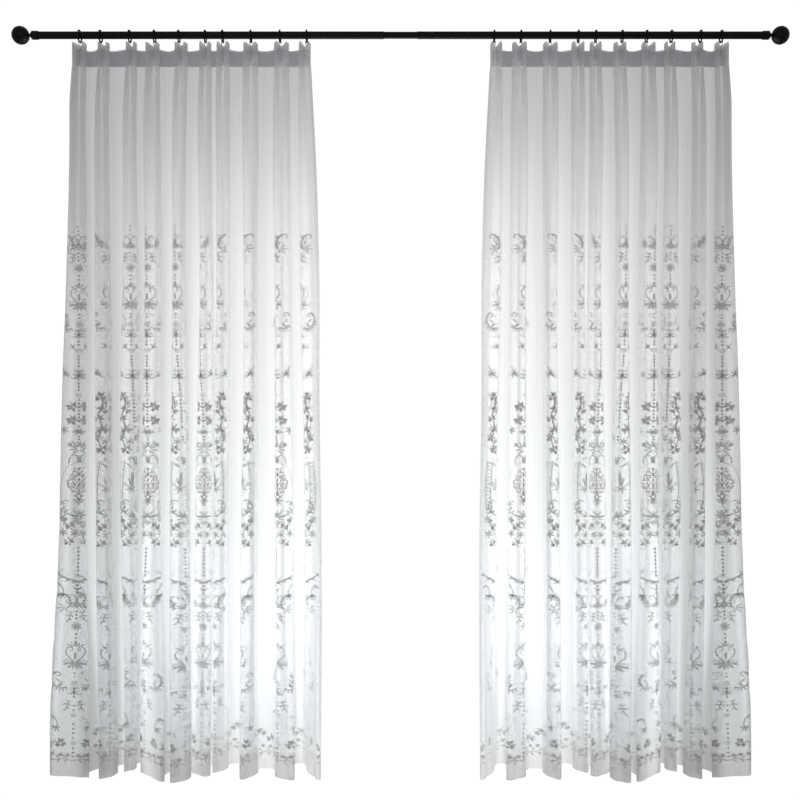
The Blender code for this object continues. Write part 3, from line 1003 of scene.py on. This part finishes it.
def ring_tree():
    """A round wire ring, standing across the rod, on each point."""
    sizes = {"Coat": "Material"}
    for part in ("Ring", "Wire"):
        sizes |= {f"{part} radius": "Float", f"{part} sides": "Int"}
    nodes, given = geometry_tree("rings_on_rod", sizes)
    hoop, wire = (
        nodes.out(
            "GeometryNodeCurvePrimitiveCircle",
            {"Radius": given[f"{part} radius"], "Resolution": given[f"{part} sides"]},
        )
        for part in ("Ring", "Wire")
    )
    swept = nodes.out("GeometryNodeCurveToMesh", {"Curve": hoop, "Profile Curve": wire})
    soft = nodes.out("GeometryNodeSetShadeSmooth", {"Geometry": swept})
    across = (0.0, math.pi / 2, 0.0)
    ring = nodes.out("GeometryNodeTransform", {"Geometry": soft, "Rotation": across})
    return stood_on_points(nodes, given, {"Instance": ring}, "Coat")


def repeated(obj, tree, values):
    """Runs the tree on the object with its inputs set, and keeps the result as a plain mesh."""
    modifier = obj.modifiers.new("repeat", "NODES")
    modifier.node_group = tree
    for item in tree.interface.items_tree:
        if item.in_out == "INPUT" and item.name in values:
            modifier[item.identifier] = values[item.name]
    return made_plain(obj)


class Finish(Nodes):
    """A material under construction."""

    def __init__(self, name):
        self.material = bpy.data.materials.new(name)
        self.material.use_nodes = True
        super().__init__(self.material.node_tree)
        self.output = self.node("ShaderNodeOutputMaterial")

    def place(self):
        return self.node("ShaderNodeTexCoord").outputs["Object"]

    def noise(self, place, scale=1.0, detail=3.0):
        inputs = {"Vector": place, "Scale": scale, "Detail": detail, "Roughness": NOISE_ROUGHNESS}
        return self.out("ShaderNodeTexNoise", inputs)

    def stretched(self, place, scale):
        return self.out("ShaderNodeMapping", {"Vector": place, "Scale": scale})

    def colour(self, choice, tones):
        """The one tone, or the mix of two by choice."""
        if len(tones) == 1:
            return (*tones[0], 1.0)
        ends = {"Factor": choice, "A": (*tones[0], 1.0), "B": (*tones[1], 1.0)}
        return self.node("ShaderNodeMix", ends, data_type="RGBA").outputs["Result"]

    def cloth(self, share, weave, choice=None):
        """Cloth of which that share is open, and the rest passes or throws back the light."""
        front = self.out("ShaderNodeBsdfDiffuse", {"Color": self.colour(choice, weave.front)})
        back = self.out("ShaderNodeBsdfTranslucent", {"Color": self.colour(choice, weave.glow)})
        gap = self.out("ShaderNodeBsdfTransparent", {"Color": (*weave.gap, 1.0)})
        return self.show(self.mixed(share, self.mixed(weave.passes, front, back), gap))

    def show(self, shader):
        self.tree.links.new(shader, self.output.inputs["Surface"])
        return self.material


def voile_finish(width):
    """Sheer voile: fine upright ribs, doubled at the heading and hems, with a line of stitches. Its
    foot hem has a painted shade, darker and warmer.
    """
    finish = Finish("sheer_voile")
    uv = finish.out("ShaderNodeUVMap", uv_map="cloth")
    place = finish.node("ShaderNodeSeparateXYZ", {"Vector": uv}).outputs
    u, v = place["X"], place["Y"]
    from_side = finish.sum("MINIMUM", u, finish.sum("SUBTRACT", width, u))
    side_hem = finish.sum("LESS_THAN", from_side, SIDE_HEM)
    heading = finish.sum("LESS_THAN", v, -TAPE_FOOT)
    # The foot hem: doubled cloth, and also shown in a painted shade, darker and warmer than the
    # rest
    hem_line = -HEM_HEIGHT - BOTTOM_HEM
    doubled_shaded_hem = finish.sum("GREATER_THAN", v, hem_line)
    near_side = finish.sum("COMPARE", from_side, SIDE_HEM - STITCH_INSET, STITCH_HALF)
    near_foot = finish.sum("COMPARE", v, hem_line + STITCH_INSET, STITCH_HALF)
    parts = {
        "warp": finish.noise(finish.stretched(uv, WARP_SCALE)),
        "weft": finish.noise(finish.stretched(uv, WEFT_SCALE)),
        "ribs": finish.sum("SINE", finish.sum("MULTIPLY", u, 2 * math.pi / RIB_PITCH)),
        "double": finish.sum("MAXIMUM", side_hem, finish.sum("MAXIMUM", heading, doubled_shaded_hem)),
        "stitches": finish.sum("MAXIMUM", near_side, near_foot),
    }
    share = VOILE_OPEN
    for name, adds in OPENED_BY.items():
        share = finish.sum("MULTIPLY_ADD", parts[name], adds, share)
    # The foot hem takes the second tones, a painted shade darker and warmer than the cloth
    return finish.cloth(share, VOILE, doubled_shaded_hem)


def thread_finish():
    """White embroidery thread, with an olive cast in the bunches of leaves."""
    finish = Finish("needlework_thread")
    tone = finish.node("ShaderNodeAttribute", attribute_name="thread_tone").outputs["Fac"]
    lay = finish.noise(finish.place(), THREAD_SCALE, 2.0)
    return finish.cloth(finish.sum("MULTIPLY_ADD", lay, *THREAD_OPEN), THREAD, tone)


def tape_finish():
    """Stiff woven heading tape with close upright ribs."""
    finish = Finish("heading_tape")
    ribs = finish.noise(finish.stretched(finish.place(), TAPE_SCALE))
    return finish.cloth(finish.sum("MULTIPLY_ADD", ribs, *TAPE_OPEN), TAPE)


def black_finish(name, shade, roughness, coat):
    """A black coat on metal with a faint unevenness in its sheen."""
    finish = Finish(name)
    uneven = finish.noise(finish.place(), COAT_SCALE, 4.0)
    inputs = {
        "Base Color": (shade, shade, shade * 1.05, 1.0),
        "Specular IOR Level": 0.25,
        "Coat Weight": coat,
        "Coat Roughness": 0.3,
        "Roughness": finish.sum("MULTIPLY_ADD", uneven, 2 * SHEEN_UNEVEN, roughness - SHEEN_UNEVEN),
    }
    return finish.show(finish.out("ShaderNodeBsdfPrincipled", inputs))


def floor_finish():
    """Pale to the light, white where it shows bare, and clear behind the cloth."""
    finish = Finish("pale_floor")
    pale = finish.out("ShaderNodeBsdfDiffuse", {"Color": (*FLOOR_TONE, 1.0)})
    white = finish.out("ShaderNodeEmission", {"Color": (*WHITE, 1.0), "Strength": WHITE_LEVEL})
    return finish.show(finish.seen(pale, finish.out("ShaderNodeBsdfTransparent"), white))


def cloth_mesh(name, cloth, side):
    rows, columns, _ = cloth.points.shape
    points = cloth.points.reshape(-1, 3) * (side, 1, 1)
    start = (np.arange(rows - 1)[:, None] * columns + np.arange(columns - 1)[None, :]).reshape(-1)
    faces = np.stack([start, start + columns, start + columns + 1, start + 1], axis=1)
    if side > 0:
        faces = faces[:, ::-1]
    mesh = bpy.data.meshes.new(name)
    mesh.from_pydata(points.tolist(), [], faces.tolist())
    layer = mesh.uv_layers.new(name="cloth")
    across = np.broadcast_to(cloth.across, (rows, columns))
    flat = np.stack([across, -cloth.points[:, :, 2]], axis=2).reshape(-1, 2)
    layer.data.foreach_set("uv", flat[faces.reshape(-1)].reshape(-1).astype(np.float32))
    mesh.polygons.foreach_set("use_smooth", np.ones(len(mesh.polygons), bool))
    mesh.update()
    return mesh


def place_across(across, height):
    """Place on the cloth for a place in the even pattern, from the table of its columns."""
    levels = range(len(COLUMN_HEIGHTS))
    number = np.arange(len(COLUMNS))
    step = across / PATTERN_PITCH
    rows = np.array([np.interp(step, number, [column[k] for column in COLUMNS]) for k in levels])
    share = np.interp(-height, [-h for h in COLUMN_HEIGHTS], levels)
    low = np.clip(share.astype(int), 0, len(COLUMN_HEIGHTS) - 2)
    each = np.arange(len(across))
    part = smooth(share - low)
    return rows[low, each] * (1 - part) + rows[low + 1, each] * part


def needlework_mesh(name, cloth, flat, side):
    """The flat needlework laid on the hung cloth, but not past its hems or into its folds."""
    count = len(flat.vertices)
    co = np.empty(count * 3, np.float32)
    flat.vertices.foreach_get("co", co)
    co = co.reshape(-1, 3).astype(float)
    tones = np.empty(count, np.float32)
    flat.attributes["thread_tone"].data.foreach_get("value", tones)
    co[:, 0] = place_across(co[:, 0], co[:, 2])
    inside = (co[:, 0] > SIDE_CLEAR) & (co[:, 0] < cloth.width - SIDE_CLEAR)
    inside &= co[:, 2] > HEM_HEIGHT + HEM_CLEAR
    faces = [tuple(p.vertices) for p in flat.polygons if all(inside[i] for i in p.vertices)]
    steep = cloth.turned_away(co[:, 0], co[:, 2])
    faces = [f for f in faces if not steep[f[0]]]
    used = np.zeros(count, bool)
    used[[i for f in faces for i in f]] = True
    number = np.cumsum(used) - 1
    placed = cloth.laid_on(co[used, 0], co[used, 2], THREAD_RISE) * (side, 1, 1)
    order = -1 if side > 0 else 1
    mesh = bpy.data.meshes.new(name)
    faces = [tuple(int(number[i]) for i in f[::order]) for f in faces]
    mesh.from_pydata(placed.tolist(), [], faces)
    layer = mesh.attributes.new("thread_tone", "FLOAT", "POINT")
    layer.data.foreach_set("value", tones[used])
    mesh.update()
    return mesh


def turned(name, profile, side, distance):
    """A turned piece along the rod. Its profile is (radius, distance along), outer end first."""
    mesh = bpy.data.meshes.new(name)
    edges = [(i, i + 1) for i in range(len(profile) - 1)]
    mesh.from_pydata([(r, 0.0, a) for r, a in profile], edges, [])
    piece = linked(name, mesh)
    screw = piece.modifiers.new("turn", "SCREW")
    screw.steps = screw.render_steps = TURN_STEPS
    screw.use_merge_vertices = True
    screw.merge_threshold = MERGE
    turn = Matrix.Rotation(side * math.pi / 2, 4, "Y")
    made_plain(piece).data.transform(Matrix.Translation((side * distance, 0, 0)) @ turn)
    return piece


def outward(mesh):
    """Turns all faces outward, and shades them smooth up to the sharp edges."""
    work = bmesh.new()
    work.from_mesh(mesh)
    bmesh.ops.recalc_face_normals(work, faces=work.faces)
    work.to_mesh(mesh)
    work.free()
    mesh.shade_smooth()
    mesh.set_sharp_from_angle(angle=SHARP_ANGLE)


def finial_outline():
    """Ball, neck, cone, collar and plug, from the ball's end inward."""
    collar_end = GAP + COLLAR_LENGTH
    cone_end = collar_end + CONE_LENGTH
    sink = math.asin(FINIAL_NECK_RADIUS / BALL_RADIUS)
    ball_middle = cone_end + FINIAL_NECK_LENGTH + BALL_HALF_LENGTH * math.cos(sink)
    angles = [(math.pi - sink) * step / BALL_STEPS for step in range(BALL_STEPS + 1)]
    return [
        (BALL_RADIUS * math.sin(a), ball_middle + BALL_HALF_LENGTH * math.cos(a)) for a in angles
    ] + [
        (FINIAL_NECK_RADIUS, cone_end),
        (COLLAR_RADIUS, collar_end),
        (COLLAR_RADIUS, GAP),
        (INNER_RADIUS, GAP),
        (INNER_RADIUS, -PLUG_LENGTH),
        (0.0, -PLUG_LENGTH),
    ]


def tube_outline(outer, length):
    inner = outer - ROD_WALL
    return [(inner, length), (outer, length), (outer, 0.0), (inner, 0.0), (inner, length)]


def ring_centres():
    drop = RING_INNER - (ROD_RADIUS + GAP) / math.cos(math.pi / RING_SIDES)
    return [(side * fold.ring * MM, 0.0, -drop) for side in SIDES.values() for fold in FOLDS]


def dress_rod(black):
    """Rods, finials and rings: rounder pieces in place of the faceted solids."""
    pieces = []
    start = STEP_FROM_MIDDLE + INNER_OVERLAP
    middle = turned("inner_tube", tube_outline(INNER_RADIUS, 2 * start), 1, -start)
    pieces.append((middle, ["rod_inner_tube"], "rod"))
    tube_profile = tube_outline(ROD_RADIUS, ROD_END - STEP_FROM_MIDDLE)
    for name, side in SIDES.items():
        tube = turned(f"outer_tube_{name}", tube_profile, side, STEP_FROM_MIDDLE)
        pieces.append((tube, [f"rod_tube_{name}"], "rod"))
        ball = turned(f"ball_finial_{name}", finial_outline(), side, ROD_END)
        pieces.append((ball, [f"finial_{name}"], "rod"))
    for piece, _, _ in pieces:
        outward(piece.data)
        piece.data.materials.append(black)
    points = bpy.data.meshes.new("ring_centres")
    points.from_pydata(ring_centres(), [], [])
    sizes = {
        "Ring radius": RING_INNER + RING_WIRE,
        "Wire radius": RING_WIRE,
        "Ring sides": RING_STEPS,
        "Wire sides": WIRE_STEPS,
        "Coat": black,
    }
    rings = repeated(linked("rings", points), ring_tree(), sizes)
    nodes = [f"ring_{name}_{number}" for name in SIDES for number in NUMBERS]
    pieces.append((rings, nodes, "ring"))
    for piece, stood_for, slot in pieces:
        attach(piece, "root")
        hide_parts(*stood_for)


def coat(obj, finish):
    obj.data.materials.clear()
    obj.data.materials.append(finish)


def dress_hooks(wire):
    for name in SIDES:
        for number in NUMBERS:
            hook = frame["nodes"][f"hook_{name}_{number}"]
            coat(hook, wire)


def dress_tapes(tape):
    for name in SIDES:
        strip = frame["nodes"][f"heading_tape_{name}"]
        coat(strip, tape)


def dress_panels():
    """The fine cloth of both panels with its needlework."""
    cloth = HungCloth()
    voile = voile_finish(cloth.width)
    thread = thread_finish()
    motifs = bpy.data.collections.new("motifs")
    bpy.context.scene.collection.children.link(motifs)
    for name in MOTIFS:
        motifs.objects.link(motif_mesh(name, name.endswith("full"), name.startswith("spread")))
    columns = bpy.data.meshes.new("pattern_columns")
    columns.from_pydata([(i * PATTERN_PITCH, 0, 0) for i in range(len(COLUMNS))], [], [])
    number = columns.attributes.new("motif_number", "INT", "POINT")
    number.data.foreach_set("value", [MOTIFS.index(column.motif) for column in COLUMNS])
    inputs = {"Motifs": motifs, "Thread": thread}
    flat = repeated(linked("flat_pattern", columns), repeat_tree(), inputs)
    for name, side in SIDES.items():
        panel = linked(f"sheer_panel_{name}", cloth_mesh(f"sheer_panel_{name}", cloth, side))
        coat(panel, voile)
        laid = needlework_mesh(f"needlework_{name}", cloth, flat.data, side)
        sewn = linked(f"needlework_{name}", laid)
        coat(sewn, thread)
        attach(panel, "root")
        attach(sewn, "root")
        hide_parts(f"voile_panel_{name}")
    for spare in (*motifs.objects, flat):
        bpy.data.objects.remove(spare)
    bpy.data.collections.remove(motifs)


def sky(world):
    """A soft grey light. It shows white where bare, and one plain tone through the cloth."""
    world.use_nodes = True
    nodes = Nodes(world.node_tree)

    def background(colour, strength=1.0):
        return nodes.out("ShaderNodeBackground", {"Color": colour, "Strength": strength})

    direction = nodes.node("ShaderNodeTexCoord").outputs["Generated"]
    place = nodes.node("ShaderNodeSeparateXYZ", {"Vector": direction}).outputs
    depth = {"Value": place["Y"], "From Min": -1.0, "From Max": 1.0}
    band = nodes.node("ShaderNodeValToRGB", {"Fac": nodes.out("ShaderNodeMapRange", depth)})
    marks = band.color_ramp.elements
    marks.new(0.5)
    for mark, position, tone in zip(marks, (0.0, 0.5, 1.0), LIGHT_TONES):
        mark.position = position
        mark.color = (tone, tone, tone, 1.0)
    light = background(band.outputs["Color"])
    behind, bare = background((*BEHIND_CLOTH, 1.0)), background((*WHITE, 1.0), WHITE_LEVEL)
    nodes.node("ShaderNodeOutputWorld", {"Surface": nodes.seen(light, behind, bare)})


def soft_lamp(settings):
    lamp = bpy.data.lights.new(settings.name, "AREA")
    lamp.shape = "RECTANGLE"
    lamp.size = settings.width
    lamp.size_y = settings.height
    lamp.energy = settings.power
    lamp.color = settings.colour
    obj = linked(settings.name, lamp)
    obj.location = settings.place
    aim = Vector(settings.target) - Vector(settings.place)
    obj.rotation_euler = aim.to_track_quat("-Z", "Y").to_euler()
    obj.visible_camera = False


def light_and_floor():
    world = bpy.data.worlds.new("studio")
    bpy.context.scene.world = world
    sky(world)
    for settings in LAMPS:
        soft_lamp(settings)
    bpy.ops.mesh.primitive_plane_add(size=FLOOR_SIZE, location=(0, 0, FLOOR_HEIGHT))
    floor = bpy.context.object
    floor.name = "floor"
    floor.data.materials.append(floor_finish())


def camera():
    data = bpy.data.cameras.new("camera")
    data.sensor_width = SENSOR
    data.lens = SENSOR * VIEW_DISTANCE / FRAME_WIDTH
    obj = linked("camera", data)
    obj.location = (VIEW_ACROSS, -VIEW_DISTANCE, VIEW_HEIGHT)
    obj.rotation_euler = (math.pi / 2, 0.0, 0.0)
    bpy.context.scene.camera = obj


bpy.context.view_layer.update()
dress_rod(black_finish("satin_black", shade=0.004, roughness=0.4, coat=0.06))
dress_hooks(black_finish("black_wire", shade=0.006, roughness=0.45, coat=0.0))
dress_tapes(tape_finish())
dress_panels()
light_and_floor()
camera()
bpy.context.scene.view_settings.view_transform = "Standard"
